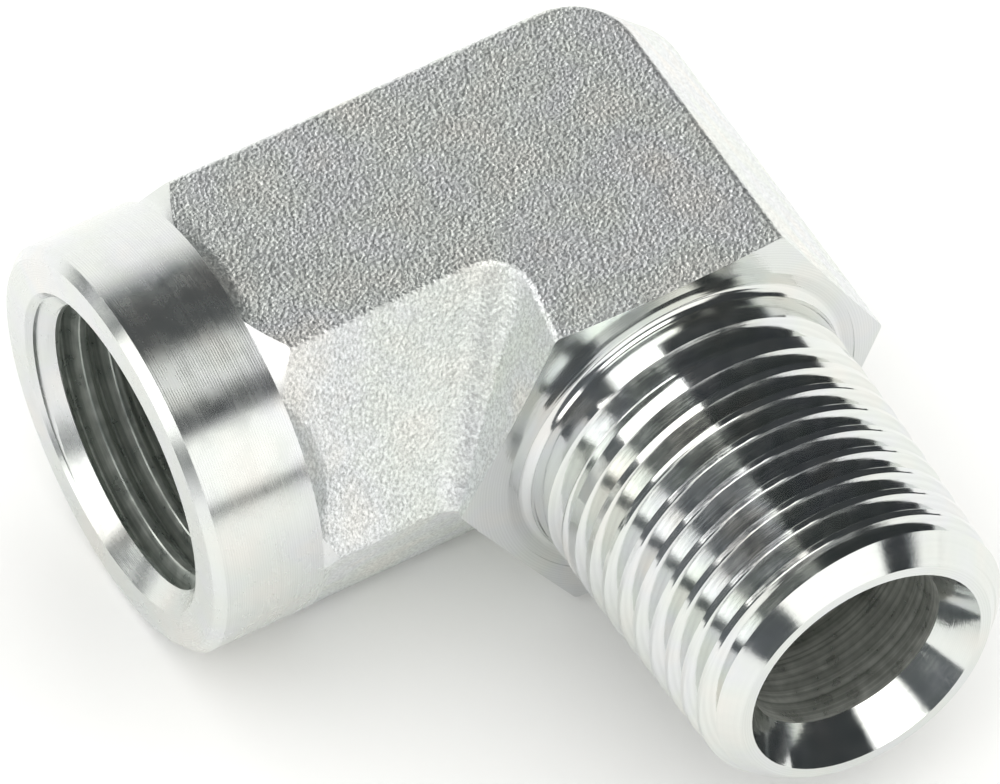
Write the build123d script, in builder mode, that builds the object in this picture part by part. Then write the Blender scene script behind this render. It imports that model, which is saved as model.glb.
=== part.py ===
"""Street elbow for hydraulic pipe: a 90 degree forged steel fitting, 1/2-14 taper pipe thread.

One piece. The forged body has a six-sided section in both arms. The arm along +X ends in a
turned collar with a tapped port, and the arm along +Y in a stem turned for its thread, with a
seat cone. Stem and port have the tapers and crest sizes of the pipe thread.
Millimetres. The origin is on the bottom flat, straight below the crossing of the port axes.
"""

import os
from math import radians, tan

from build123d import *

# Forged body: a six-sided section, two flats and four sloping sides that meet in two ridges
across_flats = 25.5
flat_width = 15.0
ridge_width = 28.3
outer_bend_radius = 5.0
inner_bend_radius = 2.4
edge_radius = 0.5

# The stem arm swells on the inside of the bend, just before its shoulder
swell_at_flat = 0.8
swell_at_ridge = 1.1
swell_length = 4.5

# Centre of the bend to the end of each arm
port_centre_to_end = 31.0
stem_centre_to_end = 37.9

# Turned collar round the tapped port
collar_diameter = 26.9
collar_length = 7.3
collar_chamfer = 0.6
corner_cut_angle = 42.0

# Turned shoulder of the stem arm: a flat ring with faced-back corners, and a root radius
shoulder_from_centre = 15.5
shoulder_ring_diameter = 24.2
facing_angle = 6.0

# 1/2-14 taper pipe thread, 60 degree form, taper 1 in 16 on diameter
threads_per_inch = 14
pipe_diameter = 21.336
thread_taper = 1 / 16
thread_form_angle = 60.0
crest_flat = 0.2
root_flat = 0.12
hand_tight_length = 8.128

# Ring-shaped relief where the stem thread runs out
relief_from_centre = 18.7
relief_flat = 0.3
relief_below_root = 0.06

# Stem end: chamfer, narrow end ring and seat cone
end_ring_diameter = 17.3
end_chamfer_angle = 45.0
seat_mouth_diameter = 15.9
seat_half_angle = 30.0

# Tapped port and flow bores
mouth_diameter = 21.2
mouth_half_angle = 45.0
tap_drill_diameter = 17.46
tap_drill_depth = 21.0
flow_bore_diameter = 13.0
drill_point_angle = 118.0
bore_overrun = 3.0

# Allowance for the cutting shapes
clear_of_body = 20.0

# Body
axis_height = across_flats / 2
half_flat = flat_width / 2
half_ridge = ridge_width / 2
collar_radius = collar_diameter / 2
collar_start = port_centre_to_end - collar_length
stem_radius = pipe_diameter / 2
shoulder_ring_radius = shoulder_ring_diameter / 2
shoulder_root_radius = shoulder_ring_radius - stem_radius
flow_radius = flow_bore_diameter / 2
drill_radius = tap_drill_diameter / 2
drill_point_slope = tan(radians(drill_point_angle / 2))

# Thread form: a V with flats at crest and root, measured from the pitch line
pitch = 25.4 / threads_per_inch
taper_slope = thread_taper / 2
flank_slope = tan(radians(thread_form_angle / 2))
sharp_height = pitch / (2 * flank_slope)
crest_above_pitch = (sharp_height - crest_flat / flank_slope) / 2
root_below_pitch = (sharp_height - root_flat / flank_slope) / 2

# Stem thread: radii at the end of the stem, growing towards the shoulder
pitch_radius_at_end = (pipe_diameter - (0.05 * pipe_diameter / 25.4 + 1.1) * pitch) / 2
crest_at_end = pitch_radius_at_end + crest_above_pitch
root_at_end = pitch_radius_at_end - root_below_pitch
root_at_relief = root_at_end + (stem_centre_to_end - relief_from_centre) * taper_slope
tapered_crest_length = (stem_radius - crest_at_end) / taper_slope

# Port thread: crest radius at the mouth, shrinking into the port down to the tap drill
pitch_radius_at_mouth = pitch_radius_at_end + hand_tight_length * taper_slope
port_crest_at_mouth = pitch_radius_at_mouth - crest_above_pitch
ream_depth = (port_crest_at_mouth - drill_radius) / taper_slope

port_axis = Axis((0, 0, axis_height), (1, 0, 0))
stem_axis = Axis((0, 0, axis_height), (0, 1, 0))


def section_points(swell_flat=0.0, swell_ridge=0.0):
    """Corners of the forged section; the swell moves out the first two."""
    return [
        (half_flat + swell_flat, axis_height),
        (half_ridge + swell_ridge, 0),
        (half_flat, -axis_height),
        (-half_flat, -axis_height),
        (-half_ridge, 0),
        (-half_flat, axis_height),
    ]


def stem_section_plane(distance):
    """Plane across the stem arm, local x along +X and local y up."""
    return Plane(origin=(0, distance, axis_height), x_dir=(1, 0, 0), z_dir=(0, -1, 0))


def half_plane(axis):
    """Level plane through a port axis: first coordinate along the axis, second the radius."""
    return Plane(origin=axis.position, x_dir=axis.direction, z_dir=(0, 0, 1))


def turned_profile(axis, *points):
    """Closed profile to revolve about a port axis."""
    with BuildSketch(half_plane(axis)) as profile:
        with BuildLine():
            Polyline(*points, close=True)
        make_face()
    return profile.sketch


def cone_profile(axis, end, mouth_radius, inner_radius, half_angle):
    """Profile of a countersink in the end of an arm, down to a smaller radius."""
    depth = (mouth_radius - inner_radius) / tan(radians(half_angle))
    return turned_profile(axis, (end, 0), (end, mouth_radius), (end - depth, inner_radius), (end - depth, 0))


def flow_bore_profile(axis, end):
    """Profile of a flow bore, drilled past the crossing until its point marks the far wall."""
    tip = bore_overrun + flow_radius / drill_point_slope
    return turned_profile(axis, (end, 0), (end, flow_radius), (-bore_overrun, flow_radius), (-tip, 0))


def on_arms(edge):
    """True for the forged edges that lie clear of the two ends of the forging."""
    middle = edge.center()
    return middle.X < collar_start - edge_radius and middle.Y < shoulder_from_centre - edge_radius


def is_ridge(edge):
    """True for the edges at the height of the port axes."""
    return abs(edge.center().Z - axis_height) < edge_radius / 10


def is_flat_outline(edge):
    """True for the edges round the top and bottom flats."""
    return abs(edge.center().Z - axis_height) > axis_height - edge_radius / 10


# Forged elbow: the section swept round a mitred corner, then rounded on the outside
with BuildPart() as forging:
    with BuildLine() as spine:
        Polyline(
            (collar_start, 0, axis_height),
            (0, 0, axis_height),
            (0, shoulder_from_centre, axis_height),
        )
    with BuildSketch(Plane(origin=spine.line @ 0, x_dir=(0, 1, 0), z_dir=spine.line % 0)):
        with BuildLine():
            Polyline(*section_points(), close=True)
        make_face()
    sweep(path=spine.line, transition=Transition.RIGHT)
    mitre_edges = forging.edges().filter_by(lambda e: abs(e.center().X - e.center().Y) < edge_radius / 10)
    fillet(mitre_edges.filter_by(lambda e: e.center().X < -half_flat), outer_bend_radius)

# Inside of the bend: a hollow radius in plan that leans in with the sloping sides
with BuildPart() as inner_bend:
    near = half_ridge - inner_bend_radius
    far = half_ridge + inner_bend_radius
    for side in (1, -1):
        slant = Vector(half_flat - half_ridge, half_flat - half_ridge, side * axis_height)
        with BuildSketch(Plane.XY.offset(axis_height)):
            with BuildLine():
                Polyline((half_ridge, far), (near, far), (near, near), (far, near), (far, half_ridge))
                RadiusArc((far, half_ridge), (half_ridge, far), inner_bend_radius)
            make_face()
        extrude(amount=slant.length, dir=slant)

# Swell on the inner side of the stem arm, up to its shoulder
with BuildPart() as stem_swell:
    with BuildSketch(stem_section_plane(shoulder_from_centre - swell_length)):
        with BuildLine():
            Polyline(*section_points(), close=True)
        make_face()
    with BuildSketch(stem_section_plane(shoulder_from_centre)):
        with BuildLine():
            Polyline(*section_points(swell_at_flat, swell_at_ridge), close=True)
        make_face()
    loft(ruled=True)

# Stem: root radius, smooth neck, relief, tapered thread crest and end chamfer
with BuildPart() as stem:
    with BuildSketch(half_plane(stem_axis)):
        neck_start = shoulder_from_centre + shoulder_root_radius
        relief_floor = root_at_relief - relief_below_root
        floor_half = relief_flat / 2
        relief_half = floor_half + (stem_radius - relief_floor) * flank_slope
        with BuildLine():
            RadiusArc(
                (shoulder_from_centre, shoulder_ring_radius),
                (neck_start, stem_radius),
                -shoulder_root_radius,
            )
            Polyline(
                (neck_start, stem_radius),
                (relief_from_centre - relief_half, stem_radius),
                (relief_from_centre - floor_half, relief_floor),
                (relief_from_centre + floor_half, relief_floor),
                (relief_from_centre + relief_half, stem_radius),
                (stem_centre_to_end - tapered_crest_length, stem_radius),
                (stem_centre_to_end, crest_at_end),
                (stem_centre_to_end, 0),
                (0, 0),
                (shoulder_from_centre, shoulder_ring_radius),
            )
        make_face()
    revolve(axis=stem_axis)
    chamfer_reach = (clear_of_body - end_ring_diameter / 2) / tan(radians(end_chamfer_angle))
    revolve(
        turned_profile(
            stem_axis,
            (stem_centre_to_end, end_ring_diameter / 2),
            (stem_centre_to_end - chamfer_reach, clear_of_body),
            (stem_centre_to_end, clear_of_body),
        ),
        axis=stem_axis,
        mode=Mode.SUBTRACT,
    )

with BuildPart() as elbow_body:
    add(forging.part)
    add(stem_swell.part)
    add(inner_bend.part)

    # Forged edges: the outlines of both flats, then the ridges
    fillet(elbow_body.edges().filter_by(on_arms).filter_by(is_flat_outline), edge_radius)
    fillet(elbow_body.edges().filter_by(on_arms).filter_by(is_ridge), edge_radius)

    # Facing cut behind the shoulder ring: square at the ring, leaning back at the corners
    lean_back = (clear_of_body - shoulder_ring_radius) * tan(radians(facing_angle))
    revolve(
        turned_profile(
            stem_axis,
            (shoulder_from_centre, 0),
            (shoulder_from_centre, shoulder_ring_radius),
            (shoulder_from_centre - lean_back, clear_of_body),
            (stem_centre_to_end, clear_of_body),
            (stem_centre_to_end, 0),
        ),
        axis=stem_axis,
        mode=Mode.SUBTRACT,
    )

    # The turning cut that makes the collar also bevels the corners of the forged section
    bevel_length = (clear_of_body - collar_radius) / tan(radians(corner_cut_angle))
    revolve(
        turned_profile(
            port_axis,
            (collar_start, collar_radius),
            (collar_start - bevel_length, clear_of_body),
            (port_centre_to_end, clear_of_body),
            (port_centre_to_end, collar_radius),
        ),
        axis=port_axis,
        mode=Mode.SUBTRACT,
    )

    # Collar, with a chamfer round its end face
    revolve(
        turned_profile(
            port_axis,
            (0, 0),
            (collar_start, collar_radius),
            (port_centre_to_end - collar_chamfer, collar_radius),
            (port_centre_to_end, collar_radius - collar_chamfer),
            (port_centre_to_end, 0),
        ),
        axis=port_axis,
    )
    add(stem.part)

    # Tapped port: tapered thread crest, tap drill and drill point, then the mouth
    drill_end = port_centre_to_end - tap_drill_depth
    revolve(
        turned_profile(
            port_axis,
            (port_centre_to_end, 0),
            (port_centre_to_end, port_crest_at_mouth),
            (port_centre_to_end - ream_depth, drill_radius),
            (drill_end, drill_radius),
            (drill_end - drill_radius / drill_point_slope, 0),
        ),
        axis=port_axis,
        mode=Mode.SUBTRACT,
    )
    revolve(
        cone_profile(port_axis, port_centre_to_end, mouth_diameter / 2, drill_radius, mouth_half_angle),
        axis=port_axis,
        mode=Mode.SUBTRACT,
    )

    # Flow bores, and the seat cone in the stem end
    revolve(flow_bore_profile(port_axis, port_centre_to_end), axis=port_axis, mode=Mode.SUBTRACT)
    revolve(flow_bore_profile(stem_axis, stem_centre_to_end), axis=stem_axis, mode=Mode.SUBTRACT)
    revolve(
        cone_profile(stem_axis, stem_centre_to_end, seat_mouth_diameter / 2, flow_radius, seat_half_angle),
        axis=stem_axis,
        mode=Mode.SUBTRACT,
    )

elbow_body.part.label = "elbow_body"
os.makedirs("parts", exist_ok=True)
export_step(elbow_body.part, "parts/elbow_body.step")
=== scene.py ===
"""Looks of a street elbow: bright zinc on a shot-blasted forging with turned ends and cut threads.

Works in metres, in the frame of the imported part. Sizes with _MM in their name are in millimetres.
"""

import math
from typing import NamedTuple

import bmesh
import bpy
import numpy as np
from mathutils import Matrix, Vector


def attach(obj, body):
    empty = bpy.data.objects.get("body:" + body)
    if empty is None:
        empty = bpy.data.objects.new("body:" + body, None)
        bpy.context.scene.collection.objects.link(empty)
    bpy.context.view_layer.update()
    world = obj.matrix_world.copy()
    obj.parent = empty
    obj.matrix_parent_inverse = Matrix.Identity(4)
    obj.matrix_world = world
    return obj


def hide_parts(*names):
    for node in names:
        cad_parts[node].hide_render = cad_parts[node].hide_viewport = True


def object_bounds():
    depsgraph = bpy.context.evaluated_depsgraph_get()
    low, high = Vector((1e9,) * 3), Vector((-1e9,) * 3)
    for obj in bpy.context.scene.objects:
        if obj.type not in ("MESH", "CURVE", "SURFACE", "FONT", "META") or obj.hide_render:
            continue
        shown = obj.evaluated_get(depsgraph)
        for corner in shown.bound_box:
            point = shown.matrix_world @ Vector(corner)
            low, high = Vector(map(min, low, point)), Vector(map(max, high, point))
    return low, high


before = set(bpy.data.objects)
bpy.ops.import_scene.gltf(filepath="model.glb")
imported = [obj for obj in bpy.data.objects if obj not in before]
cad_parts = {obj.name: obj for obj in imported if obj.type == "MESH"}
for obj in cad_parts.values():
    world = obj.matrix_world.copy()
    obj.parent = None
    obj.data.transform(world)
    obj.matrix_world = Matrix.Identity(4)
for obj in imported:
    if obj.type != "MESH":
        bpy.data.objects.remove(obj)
cad_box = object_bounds()
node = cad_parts["elbow_body"]

MM = 0.001
INCH_MM = 25.4
CLOSE_MM = 0.01
ON_AXIS_MM = 1e-6
WELD_DISTANCE = 1e-7

# Body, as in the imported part
AXIS_HEIGHT_MM = 12.75
PORT_END_MM = 31.0
STEM_END_MM = 37.9
COLLAR_START_MM = 23.7
BEVEL_START_MM = 22.0
SHOULDER_MM = 15.5
SHOULDER_CORNER_MM = 14.0
SHOULDER_RING_RADIUS_MM = 12.1
FACING_SLOPE = math.tan(math.radians(6.0))
FACING_MARGIN_MM = 0.05
FLOW_RADIUS_MM = 6.5
PORT_HOLLOW_RADIUS_MM = 10.7
PORT_HOLLOW_START_MM = 8.8
PORT_MOUTH_DEPTH_MM = 1.45
SEAT_CONE_DEPTH_MM = 2.6
BORE_TIP_MM = -7.0

# Least part of a face's normal that points along the axis, on the collar's bevel and on the facing
BEVEL_FACING = 0.3
SQUARE_FACING = 0.9

# 1/2-14 taper thread, 60 degree form; at the stem's end its pitch diameter is smaller than the pipe by
# a number of pitches that grows with the pipe's diameter in inches
PITCH_MM = INCH_MM / 14
PITCHES_OFF_BASE = 1.1
PITCHES_OFF_PER_INCH = 0.05
PIPE_RADIUS_MM = 21.336 / 2
TAPER_SLOPE = 1 / 32
FLANK_SLOPE = math.tan(math.radians(30.0))
PACKED_CREST_FLAT_MM = 0.2
CREST_FLAT_MM = 0.44
ROOT_FLAT_MM = 0.12
CREST_BREAK_MM = 0.05
CREST_BREAK_SLOPE = math.tan(math.radians(60.0))
GROOVE_CLEARANCE_MM = 0.08
HAND_TIGHT_MM = 8.128
PORT_THREAD_MM = 14.2
SHARP_HEIGHT_MM = PITCH_MM / (2 * FLANK_SLOPE)
CREST_ABOVE_PITCH_MM = (SHARP_HEIGHT_MM - PACKED_CREST_FLAT_MM / FLANK_SLOPE) / 2
THREAD_DEPTH_MM = (PITCH_MM - CREST_FLAT_MM - ROOT_FLAT_MM) / (2 * FLANK_SLOPE)
PITCHES_OFF = PITCHES_OFF_PER_INCH * PIPE_RADIUS_MM * 2 / INCH_MM + PITCHES_OFF_BASE
PITCH_RADIUS_AT_END_MM = PIPE_RADIUS_MM - PITCHES_OFF * PITCH_MM / 2
STEM_ROOT_AT_END_MM = PITCH_RADIUS_AT_END_MM + CREST_ABOVE_PITCH_MM - THREAD_DEPTH_MM
PORT_CREST_AT_MOUTH_MM = PITCH_RADIUS_AT_END_MM + HAND_TIGHT_MM * TAPER_SLOPE - CREST_ABOVE_PITCH_MM
PORT_ROOT_AT_MOUTH_MM = PORT_CREST_AT_MOUTH_MM + THREAD_DEPTH_MM
STEM_THREAD_START_MM = 18.4
STEM_LEAD_TURNS = 1.5
PORT_LEAD_TURNS = 1.0
STEPS_PER_TURN = 128

# Where each groove passes the top of the stem or the side of the port, measured along its axis
STEM_GROOVE_AT_TOP_MM = 28.65
PORT_GROOVE_AT_SIDE_MM = 29.6

# Faced ring at the foot of the neck, and the fillet between them
RING_RECESS_MM = 0.04
NECK_UNDERSIZE_MM = 0.018
NECK_RADIUS_MM = PIPE_RADIUS_MM - NECK_UNDERSIZE_MM
NECK_CUT_END_MM = 17.6
FILLET_MM = 0.7
FILLET_RISE_FROM = 0.02
FILLET_RISE_TO = 0.999
FILLET_STEPS = 10
RING_STEPS = 256

# Forged faces are shaded as one surface where they meet at less than this
SMOOTH_BELOW = math.radians(50.0)

# Turning axes, and the distance between tool marks
PORT_AXIS = (1.0, 0.0, 0.0)
STEM_AXIS = (0.0, 1.0, 0.0)
FEED_MM = 0.16

# Floor, room and even light
FLOOR_HALF_WIDTH = 1.2
FLOOR_COLOUR = (0.96, 0.96, 0.95, 1.0)
DOME_COLOUR = (1.0, 0.998, 0.985, 1.0)
DOME_STRENGTH = 1.3
ROOM_LEFT = 0.05
ROOM_RIGHT = 0.15

# Tint of what mirrors show, by its brightness: cool where dim, warm where bright
ROOM_TINTS = ((0.05, (0.84, 0.93, 1.0)), (0.6, (1.0, 0.995, 0.97)))

# Keeps directions beside and behind a panel from dividing by nothing or a negative number
LEAST_AHEAD = 0.01

# Camera, fitted to the photograph: nearly parallel rays, so a long lens far away
TO_CAMERA = Vector((0.2922, 0.5490, 0.7831))
CAMERA_RIGHT = Vector((-0.8689, 0.4945, -0.0225))
CAMERA_DISTANCE = 2.0
CAMERA_REACH = 10.0
FRAME_WIDTH = 0.0608
SENSOR_WIDTH = 36.0
FRAME_CENTRE_RIGHT_MM = -3.32
FRAME_CENTRE_UP_MM = -8.68


class Panel(NamedTuple):
    """Soft-edged panel of light far away; its sizes are tangents of the angles it covers."""

    middle: tuple
    across: tuple
    half_width: float
    half_height: float
    edge: float
    strength: float


PANELS = {
    "front": Panel((-0.07, 0.90, 0.42), (0.997, 0.078, 0.0), 0.54, 0.345, 0.06, 1.45),
    "top": Panel((0.25, 0.28, 0.93), (0.966, 0.0, -0.26), 0.46, 0.25, 0.08, 2.8),
    "right": Panel((0.93, -0.06, 0.33), (0.064, 0.998, 0.0), 0.38, 0.20, 0.05, 2.2),
    "right_back": Panel((0.395, -0.665, 0.637), (0.86, 0.0, -0.533), 0.42, 0.175, 0.02, 2.4),
    "back": Panel((0.0, -0.96, 0.28), (1.0, 0.0, 0.0), 0.50, 0.46, 0.26, 1.3),
    "left": Panel((-0.87, 0.48, 0.10), (0.483, 0.876, 0.0), 0.22, 0.15, 0.08, 1.2),
}


def stem_point(along, radius, angle):
    """Point round the stem axis; angle 0 is up and turns towards +X."""
    return (radius * math.sin(angle), along, AXIS_HEIGHT_MM + radius * math.cos(angle))


def port_point(along, radius, angle):
    """Point round the port axis; angle 0 is +Y and turns upward."""
    return (along, radius * math.cos(angle), AXIS_HEIGHT_MM + radius * math.sin(angle))


def strip_faces(rows, count, closed):
    """Four-sided faces between rows of points; each row is a closed outline with count points."""
    return [
        (
            row * count + k,
            row * count + (k + 1) % count,
            (row + 1) % rows * count + (k + 1) % count,
            (row + 1) % rows * count + k,
        )
        for row in range(rows if closed else rows - 1)
        for k in range(count)
    ]


def closed_solid(name, vertices, faces):
    """Object made of the given faces, all turned outward."""
    mesh = bpy.data.meshes.new(name)
    mesh.from_pydata(vertices, [], faces)
    solid = bpy.data.objects.new(name, mesh)
    bpy.context.scene.collection.objects.link(solid)
    work = bmesh.new()
    work.from_mesh(mesh)
    bmesh.ops.recalc_face_normals(work, faces=work.faces)
    work.to_mesh(mesh)
    work.free()
    return solid


def groove_solid(name, ring_point, start, end, at_side, root_radius_at, side, lead_turns):
    """Right-handed V groove as a closed solid in millimetres, its mouth to the given side (1 outward)."""
    break_start = THREAD_DEPTH_MM - CREST_BREAK_MM
    half_root = ROOT_FLAT_MM / 2
    half_break = half_root + break_start * FLANK_SLOPE
    half_mouth = half_break + CREST_BREAK_MM * CREST_BREAK_SLOPE
    reach = THREAD_DEPTH_MM + GROOVE_CLEARANCE_MM
    profile = [
        (-half_root, 0),
        (-half_break, break_start),
        (-half_mouth, THREAD_DEPTH_MM),
        (-half_mouth, reach),
    ]
    profile += [(-width, depth) for width, depth in reversed(profile)]
    turns = (end - start) / PITCH_MM + 1
    rows = math.ceil(turns * STEPS_PER_TURN) + 1
    vertices = []
    for row in range(rows):
        turn = row / STEPS_PER_TURN
        along = start + turn * PITCH_MM
        angle = 2 * math.pi * (along - at_side) / PITCH_MM
        lift = side * reach * max(0.0, 1 - turn / lead_turns)
        for width, depth in profile:
            radius = root_radius_at(along + width) + side * depth + lift
            vertices.append(ring_point(along + width, radius, angle))
    count = len(profile)
    faces = strip_faces(rows, count, closed=False)
    faces.append(tuple(reversed(range(count))))
    faces.append(tuple((rows - 1) * count + k for k in range(count)))
    return closed_solid(name, vertices, faces)


def neck_foot_solid():
    """Ring round the foot of the neck, turned away to leave a flat ring and a small fillet."""
    face = SHOULDER_MM - RING_RECESS_MM
    profile = [(SHOULDER_RING_RADIUS_MM, NECK_CUT_END_MM), (SHOULDER_RING_RADIUS_MM, face)]
    for step in range(FILLET_STEPS + 1):
        angle = math.pi / 2 * step / FILLET_STEPS
        reach = FILLET_MM * (1 - math.sin(angle))
        profile.append((NECK_RADIUS_MM + reach, face + FILLET_MM * (1 - math.cos(angle))))
    profile.append((NECK_RADIUS_MM, NECK_CUT_END_MM))
    vertices = [
        stem_point(along, radius, 2 * math.pi * step / RING_STEPS)
        for step in range(RING_STEPS)
        for radius, along in profile
    ]
    return closed_solid("neck_foot", vertices, strip_faces(RING_STEPS, len(profile), closed=True))


def stem_groove_solid():
    """Groove of the stem's outer thread."""
    return groove_solid(
        "stem_groove",
        stem_point,
        start=STEM_THREAD_START_MM,
        end=STEM_END_MM,
        at_side=STEM_GROOVE_AT_TOP_MM,
        root_radius_at=lambda y: STEM_ROOT_AT_END_MM + (STEM_END_MM - y) * TAPER_SLOPE,
        side=1,
        lead_turns=STEM_LEAD_TURNS,
    )


def port_groove_solid():
    """Groove of the port's inner thread."""
    return groove_solid(
        "port_groove",
        port_point,
        start=PORT_END_MM - PORT_THREAD_MM,
        end=PORT_END_MM,
        at_side=PORT_GROOVE_AT_SIDE_MM,
        root_radius_at=lambda x: PORT_ROOT_AT_MOUTH_MM - (PORT_END_MM - x) * TAPER_SLOPE,
        side=-1,
        lead_turns=PORT_LEAD_TURNS,
    )


def cut_from(body, cutters):
    """Cuts the given solids out of the body and removes them."""
    for cutter in cutters:
        cut = body.modifiers.new(cutter.name, "BOOLEAN")
        cut.operation = "DIFFERENCE"
        cut.solver = "EXACT"
        cut.object = cutter
    bpy.context.view_layer.update()
    graph = bpy.context.evaluated_depsgraph_get()
    mesh = bpy.data.meshes.new_from_object(body.evaluated_get(graph))
    body.modifiers.clear()
    body.data = mesh
    for cutter in cutters:
        bpy.data.objects.remove(cutter)


def weld(mesh, distance):
    """Joins the vertices that the import split along edges."""
    work = bmesh.new()
    work.from_mesh(mesh)
    bmesh.ops.remove_doubles(work, verts=work.verts, dist=distance)
    work.to_mesh(mesh)
    work.free()


FORGED, TURNED_PORT, TURNED_STEM, BORED_PORT, BORED_STEM = range(5)


def sort_faces_by_finish(mesh):
    """Gives each face, in millimetres, the material slot of its finish."""
    count = len(mesh.polygons)
    centres = np.empty(count * 3)
    normals = np.empty(count * 3)
    mesh.polygons.foreach_get("center", centres)
    mesh.polygons.foreach_get("normal", normals)
    x, y, z = centres.reshape(-1, 3).T
    facing_x, facing_y, _ = normals.reshape(-1, 3).T
    z = z - AXIS_HEIGHT_MM
    from_port_axis = np.hypot(y, z)
    from_stem_axis = np.hypot(x, z)
    finish = np.full(count, FORGED)
    on_bevel = (x > BEVEL_START_MM) & (facing_x > BEVEL_FACING)
    on_port = (x > COLLAR_START_MM - CLOSE_MM) | on_bevel
    finish[on_port] = TURNED_PORT
    facing = SHOULDER_MM - (from_stem_axis - SHOULDER_RING_RADIUS_MM) * FACING_SLOPE
    on_facing = (facing_y > SQUARE_FACING) & (y > facing - FACING_MARGIN_MM) & (y > SHOULDER_CORNER_MM)
    on_ring = from_stem_axis < SHOULDER_RING_RADIUS_MM + CLOSE_MM
    on_ring &= y > SHOULDER_MM - 2 * RING_RECESS_MM
    on_stem = (y > SHOULDER_MM - CLOSE_MM) | on_facing | on_ring
    finish[on_stem & ~on_port] = TURNED_STEM
    flow = FLOW_RADIUS_MM + CLOSE_MM
    in_stem = (from_stem_axis < flow) & (y > BORE_TIP_MM) & (y < STEM_END_MM - SEAT_CONE_DEPTH_MM)
    finish[in_stem] = BORED_STEM
    hollow = np.where(x < PORT_HOLLOW_START_MM, flow, PORT_HOLLOW_RADIUS_MM)
    in_port = (from_port_axis < hollow) & (x > BORE_TIP_MM) & (x < PORT_END_MM - PORT_MOUTH_DEPTH_MM)
    finish[in_port] = BORED_PORT
    mesh.polygons.foreach_set("material_index", finish.astype(np.int32))
    return finish


def corner_normals(mesh, finish):
    """Normal of every face corner, in millimetres: exact on turned faces, area-weighted on forged ones."""
    places = [v.co for v in mesh.vertices]
    around = [[] for _ in places]
    for face in mesh.polygons:
        if finish[face.index] == FORGED:
            for v in face.vertices:
                around[v].append(face)
    normals = []
    for face in mesh.polygons:
        for v in face.vertices:
            if finish[face.index] == FORGED:
                near = [f for f in around[v] if f.normal.dot(face.normal) > math.cos(SMOOTH_BELOW)]
                normal = sum((f.normal * f.area for f in near), Vector())
            else:
                on_stem = finish[face.index] in (TURNED_STEM, BORED_STEM)
                normal = turned_normal(places[v], face.normal, on_stem)
            normals.append(normal.normalized())
    return normals


def turned_normal(place, face_normal, on_stem):
    """Normal at a place on a turned surface: the face's slope, turned to that place's own direction."""
    along = Vector(STEM_AXIS if on_stem else PORT_AXIS)
    outward = place - Vector((0, 0, AXIS_HEIGHT_MM))
    outward -= along * outward.dot(along)
    distance = outward.length
    if distance < ON_AXIS_MM:
        return face_normal.copy()
    outward /= distance
    rise = face_normal.dot(along)
    centre = SHOULDER_MM - RING_RECESS_MM + FILLET_MM
    off_neck = distance - NECK_RADIUS_MM
    near_fillet = place.y < centre + CLOSE_MM and -CLOSE_MM < off_neck < FILLET_MM + CLOSE_MM
    if on_stem and near_fillet and FILLET_RISE_FROM < rise < FILLET_RISE_TO:
        return along * (centre - place.y) + outward * (FILLET_MM - off_neck)
    lean = math.sqrt(max(0.0, 1 - rise * rise))
    side = 1 if face_normal.dot(outward) > 0 else -1
    return along * rise + outward * (side * lean)


def dress_body():
    """The body with its threads and neck foot cut, its faces sorted by finish, standing for the CAD node."""
    mesh = node.data.copy()
    mesh.name = "elbow"
    mesh.materials.clear()
    body = bpy.data.objects.new("elbow", mesh)
    bpy.context.scene.collection.objects.link(body)
    weld(mesh, WELD_DISTANCE)
    mesh.transform(Matrix.Scale(1 / MM, 4))
    cut_from(body, [neck_foot_solid(), stem_groove_solid(), port_groove_solid()])
    mesh = body.data
    finish = sort_faces_by_finish(mesh)
    mesh.shade_smooth()
    mesh.normals_split_custom_set(corner_normals(mesh, finish))
    mesh.transform(Matrix.Scale(MM, 4))
    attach(body, "root")
    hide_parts("elbow_body")
    return body


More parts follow.
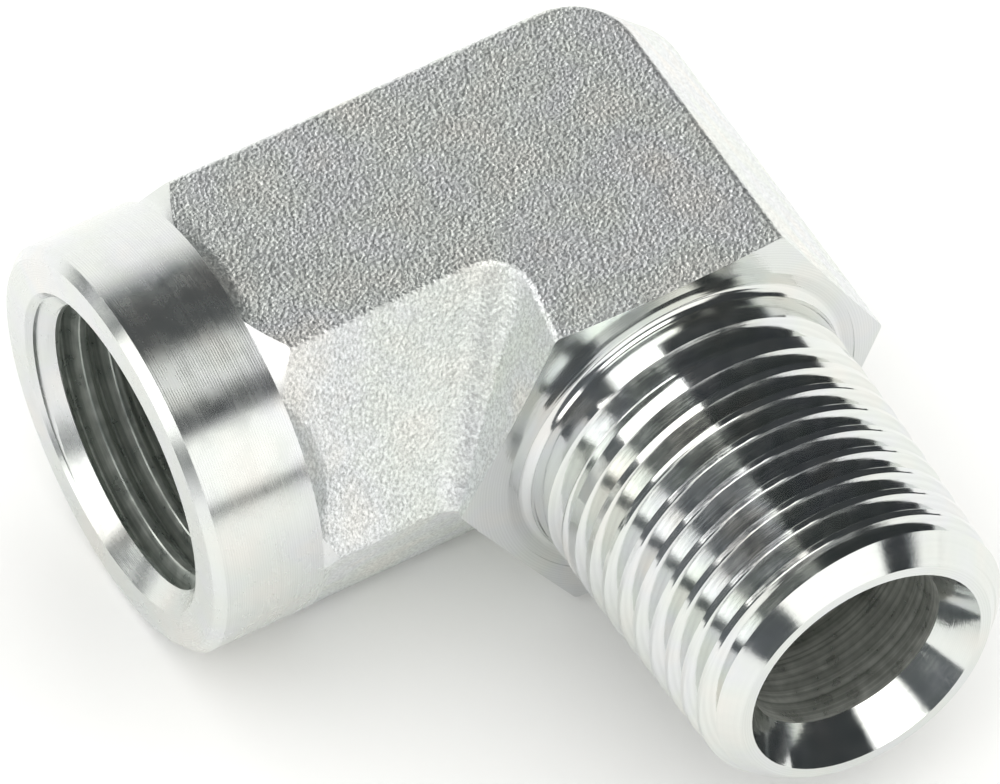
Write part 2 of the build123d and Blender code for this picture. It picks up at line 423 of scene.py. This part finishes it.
class Nodes:
    """Short way to add and join the nodes of one material or of the world."""

    def __init__(self, owner):
        self.owner = owner
        owner.use_nodes = True
        self.tree = owner.node_tree

    def add(self, kind, **settings):
        """New shader node with the given settings."""
        new = self.tree.nodes.new("ShaderNode" + kind)
        for key, value in settings.items():
            setattr(new, key, value)
        return new

    def put(self, target, value):
        """Sets a socket to a number or colour, or joins it to another socket."""
        if isinstance(value, bpy.types.NodeSocket):
            self.tree.links.new(value, target)
        else:
            target.default_value = value

    def dress(self, sockets):
        """Sets or joins the named sockets of the material's shader and returns the material."""
        shader = self.tree.nodes["Principled BSDF"]
        for name, value in sockets.items():
            self.put(shader.inputs[name], value)
        return self.owner

    def math(self, operation, a, b=0.0):
        new = self.add("Math", operation=operation)
        self.put(new.inputs[0], a)
        self.put(new.inputs[1], b)
        return new.outputs[0]

    def total(self, *terms):
        """Sum of values, each with its own weight."""
        result = 0.0
        for value, weight in terms:
            result = self.math("ADD", result, self.math("MULTIPLY", value, weight))
        return result

    def vector(self, operation, a, b=None):
        """Vector maths; for SCALE, b is the factor."""
        new = self.add("VectorMath", operation=operation)
        self.put(new.inputs[0], a)
        if b is not None:
            self.put(new.inputs["Scale"] if operation == "SCALE" else new.inputs[1], b)
        return new.outputs["Value"] if operation in ("LENGTH", "DOT_PRODUCT") else new.outputs["Vector"]

    def combine(self, x, y=0.0, z=0.0):
        new = self.add("CombineXYZ")
        for target, value in zip(new.inputs, (x, y, z)):
            self.put(target, value)
        return new.outputs[0]

    def place(self):
        """Place on the part in millimetres, from the bottom flat below the crossing."""
        return self.vector("SCALE", self.add("TexCoord").outputs["Object"], 1 / MM)

    def noise(self, place, per_mm, detail=2.0, roughness=0.5):
        new = self.add("TexNoise")
        self.put(new.inputs["Vector"], place)
        self.put(new.inputs["Scale"], per_mm)
        self.put(new.inputs["Detail"], detail)
        self.put(new.inputs["Roughness"], roughness)
        return new.outputs["Fac"]

    def cells(self, place, per_mm):
        """Distance from the middle of the nearest of many scattered cells."""
        new = self.add("TexVoronoi", feature="F1")
        self.put(new.inputs["Vector"], place)
        self.put(new.inputs["Scale"], per_mm)
        return new.outputs["Distance"]

    def range(self, value, low, high, to_low=0.0, to_high=1.0, kind="LINEAR"):
        """Maps low to to_low and high to to_high, and holds the ends."""
        new = self.add("MapRange", interpolation_type=kind)
        for index, number in enumerate((value, low, high, to_low, to_high)):
            self.put(new.inputs[index], number)
        return new.outputs["Result"]

    def colours(self, value, *stops):
        """Colour ramp with the given (position, colour) stops, in rising order."""
        new = self.add("ValToRGB")
        ramp = new.color_ramp
        while len(ramp.elements) < len(stops):
            ramp.elements.new(1.0)
        for element, (position, colour) in zip(ramp.elements, stops):
            element.position = position
            element.color = (*colour, 1.0)
        self.put(new.inputs["Fac"], value)
        return new.outputs["Color"]

    def shaded(self, colour, shade):
        """The colour, made darker or brighter by the shade."""
        new = self.add("Mix", data_type="RGBA", blend_type="MULTIPLY")
        sockets = {socket.identifier: socket for socket in new.inputs}
        self.put(sockets["Factor_Float"], 1.0)
        self.put(sockets["A_Color"], colour)
        self.put(sockets["B_Color"], shade)
        return next(socket for socket in new.outputs if socket.identifier == "Result_Color")

    def bump(self, height, distance_mm):
        new = self.add("Bump")
        self.put(new.inputs["Height"], height)
        self.put(new.inputs["Distance"], distance_mm * MM)
        return new.outputs["Normal"]

    def swing(self, place, axis):
        """Direction round a turning axis, as long as the distance from it."""
        arm = self.vector("SUBTRACT", place, (0.0, 0.0, AXIS_HEIGHT_MM))
        return self.vector("CROSS_PRODUCT", axis, arm)

    def rings(self, place, axis):
        """Place as (along the axis, distance from it, 0), the same all round each turned ring."""
        distance = self.vector("LENGTH", self.swing(place, axis))
        return self.combine(self.vector("DOT_PRODUCT", place, axis), distance)

    def lathe_tangent(self, place, axis):
        """Direction across the tool marks: along the axis on a cylinder, outward on an end face."""
        around = self.vector("NORMALIZE", self.swing(place, axis))
        return self.vector("CROSS_PRODUCT", self.add("NewGeometry").outputs["Normal"], around)


def zinc_tint(nodes, place):
    """Thin clear passivation: very faint drifts of warm, green and blue in the grey."""
    return nodes.colours(
        nodes.noise(place, per_mm=0.16),
        (0.30, (0.74, 0.735, 0.70)),
        (0.46, (0.70, 0.725, 0.70)),
        (0.58, (0.70, 0.715, 0.725)),
        (0.72, (0.745, 0.735, 0.71)),
    )


def forged_material():
    """Shot-blasted forging: a bright grain of small dents about 0.3 mm across."""
    nodes = Nodes(bpy.data.materials.new("forged_zinc"))
    place = nodes.place()
    grain = nodes.noise(place, per_mm=3.4, detail=3.0, roughness=0.7)
    swell = nodes.noise(place, per_mm=0.35)
    pits = nodes.range(nodes.cells(place, per_mm=3.9), 0.0, 0.8)
    specks = nodes.noise(place, per_mm=4.6, roughness=0.7)
    height = nodes.total((grain, 0.9), (pits, 0.5), (swell, 0.5))
    return nodes.dress(
        {
            "Base Color": nodes.shaded(zinc_tint(nodes, place), nodes.range(specks, 0.38, 0.62, 0.9, 1.32)),
            "Roughness": nodes.range(grain, 0.35, 0.65, 0.30, 0.50),
            "Metallic": 1.0,
            "Normal": nodes.bump(height, distance_mm=0.075),
        }
    )


def turned_material(name, axis, roughness, smear, nicks, ridges):
    """Lathe-turned zinc: fine even rings round one axis, with small nicks."""
    nodes = Nodes(bpy.data.materials.new(name))
    place = nodes.place()
    rings = nodes.rings(place, axis)
    fine = nodes.noise(rings, per_mm=6.5, roughness=0.6)
    broad = nodes.noise(rings, per_mm=1.1)
    wander = nodes.noise(place, per_mm=0.8, detail=3.0)
    chatter = nodes.noise(place, per_mm=5.0, roughness=0.6)
    advance = nodes.vector("DOT_PRODUCT", rings, (1.0, 1.0, 0.0))
    feed = nodes.math("SINE", nodes.total((advance, 2 * math.pi / FEED_MM), (broad, 1.0)))
    height = nodes.total((fine, 0.4), (broad, 0.6), (feed, ridges), (chatter, nicks))
    shade = nodes.total((nodes.range(fine, 0.3, 0.7, 0.97, 1.01), 1.0), (feed, 0.03))
    fine_roughness = nodes.range(fine, 0.3, 0.7, -0.015, 0.015)
    broad_roughness = nodes.range(wander, 0.3, 0.7, roughness - 0.03, roughness + 0.04)
    return nodes.dress(
        {
            "Base Color": nodes.shaded(zinc_tint(nodes, place), shade),
            "Roughness": nodes.math("ADD", broad_roughness, fine_roughness),
            "Metallic": 1.0,
            "Anisotropic": smear,
            "Tangent": nodes.lathe_tangent(place, axis),
            "Normal": nodes.bump(height, distance_mm=0.005),
        }
    )


def bored_shaded_material(name, axis, dark, light):
    """Bores and port thread: coarse, broken tool marks round one axis, in colours darker than the outside
    zinc as painted shade inside the hollows.
    """
    nodes = Nodes(bpy.data.materials.new(name))
    place = nodes.place()
    marks = nodes.noise(nodes.rings(place, axis), per_mm=2.2, detail=3.0, roughness=0.6)
    patches = nodes.noise(place, per_mm=0.9, roughness=0.6)
    scratches = nodes.math("MULTIPLY", marks, nodes.range(patches, 0.3, 0.7, 0.42, 0.58))
    return nodes.dress(
        {
            # Dark to light over the real tool marks; both colours are painted shade, darker than the outside
            # zinc
            "Base Color": nodes.colours(scratches, (0.15, dark), (0.34, light)),
            "Roughness": nodes.range(patches, 0.3, 0.7, 0.24, 0.42),
            "Metallic": 0.8,
            "Normal": nodes.bump(scratches, distance_mm=0.03),
        }
    )


def add_floor(height):
    """Plain pale floor."""
    half = FLOOR_HALF_WIDTH
    mesh = bpy.data.meshes.new("floor")
    corners = [(-half, -half, height), (half, -half, height), (half, half, height), (-half, half, height)]
    mesh.from_pydata(corners, [], [(0, 1, 2, 3)])
    floor = bpy.data.objects.new("floor", mesh)
    bpy.context.scene.collection.objects.link(floor)
    nodes = Nodes(bpy.data.materials.new("pale_floor"))
    mesh.materials.append(nodes.dress({"Base Color": FLOOR_COLOUR, "Roughness": 0.9}))


def panel_glow(nodes, toward, panel):
    """Brightness of one soft-edged panel in the given direction."""
    middle = Vector(panel.middle).normalized()
    across = (Vector(panel.across) - middle * middle.dot(Vector(panel.across))).normalized()
    rise = middle.cross(across)
    ahead = nodes.math("MAXIMUM", nodes.vector("DOT_PRODUCT", toward, tuple(middle)), LEAST_AHEAD)
    glow = panel.strength
    for direction, half in ((across, panel.half_width), (rise, panel.half_height)):
        offset = nodes.math("DIVIDE", nodes.vector("DOT_PRODUCT", toward, tuple(direction)), ahead)
        offset = nodes.math("ABSOLUTE", offset)
        inside = nodes.range(offset, half + panel.edge, half - panel.edge, kind="SMOOTHSTEP")
        glow = nodes.math("MULTIPLY", inside, glow)
    return glow


def add_light():
    """Even white light from all round, and soft panels in a dim room for what mirrors."""
    world = bpy.data.worlds.new("studio")
    bpy.context.scene.world = world
    nodes = Nodes(world)
    dome = nodes.tree.nodes["Background"]
    nodes.put(dome.inputs["Color"], DOME_COLOUR)
    nodes.put(dome.inputs["Strength"], DOME_STRENGTH)
    toward = nodes.add("TexCoord").outputs["Generated"]
    rightward = nodes.vector("DOT_PRODUCT", toward, (1.0, 0.0, 0.0))
    glow = nodes.range(rightward, -0.1, 0.9, ROOM_LEFT, ROOM_RIGHT, kind="SMOOTHSTEP")
    for panel in PANELS.values():
        glow = nodes.math("ADD", glow, panel_glow(nodes, toward, panel))
    room = nodes.add("Background")
    nodes.put(room.inputs["Color"], nodes.colours(glow, *ROOM_TINTS))
    nodes.put(room.inputs["Strength"], glow)
    mirrored = nodes.add("LightPath").outputs["Is Glossy Ray"]
    either = nodes.add("MixShader")
    for target, source in zip(either.inputs, (mirrored, dome.outputs[0], room.outputs[0])):
        nodes.put(target, source)
    nodes.put(nodes.tree.nodes["World Output"].inputs["Surface"], either.outputs[0])


def add_camera():
    """Camera at the photograph's angle."""
    data = bpy.data.cameras.new("camera")
    data.sensor_width = SENSOR_WIDTH
    data.lens = SENSOR_WIDTH * CAMERA_DISTANCE / FRAME_WIDTH
    data.clip_end = CAMERA_REACH
    camera = bpy.data.objects.new("camera", data)
    bpy.context.scene.collection.objects.link(camera)
    forward = TO_CAMERA.normalized()
    right = (CAMERA_RIGHT - forward * CAMERA_RIGHT.dot(forward)).normalized()
    up = forward.cross(right)
    centre = Vector((0, 0, AXIS_HEIGHT_MM)) + right * FRAME_CENTRE_RIGHT_MM + up * FRAME_CENTRE_UP_MM
    turn = Matrix((right, up, forward)).transposed().to_4x4()
    camera.matrix_world = Matrix.Translation(centre * MM + forward * CAMERA_DISTANCE) @ turn
    bpy.context.scene.camera = camera


elbow = dress_body()
for material in (
    forged_material(),
    turned_material("turned_zinc_port", PORT_AXIS, roughness=0.25, smear=0.75, nicks=0.15, ridges=0.15),
    turned_material("turned_zinc_stem", STEM_AXIS, roughness=0.11, smear=0.2, nicks=0.3, ridges=0.02),
    # The bores' dark and light colours are painted shade inside the hollows, deeper in the port than in the
    # stem
    bored_shaded_material("bored_zinc_port_painted_shade", PORT_AXIS, dark=(0.26, 0.29, 0.27), light=(0.60, 0.63, 0.59)),
    bored_shaded_material("bored_zinc_stem_painted_shade", STEM_AXIS, dark=(0.32, 0.34, 0.31), light=(0.92, 0.93, 0.89)),
):
    elbow.data.materials.append(material)
add_floor(cad_box[0].z)
add_light()
add_camera()
bpy.context.scene.view_settings.view_transform = "Standard"
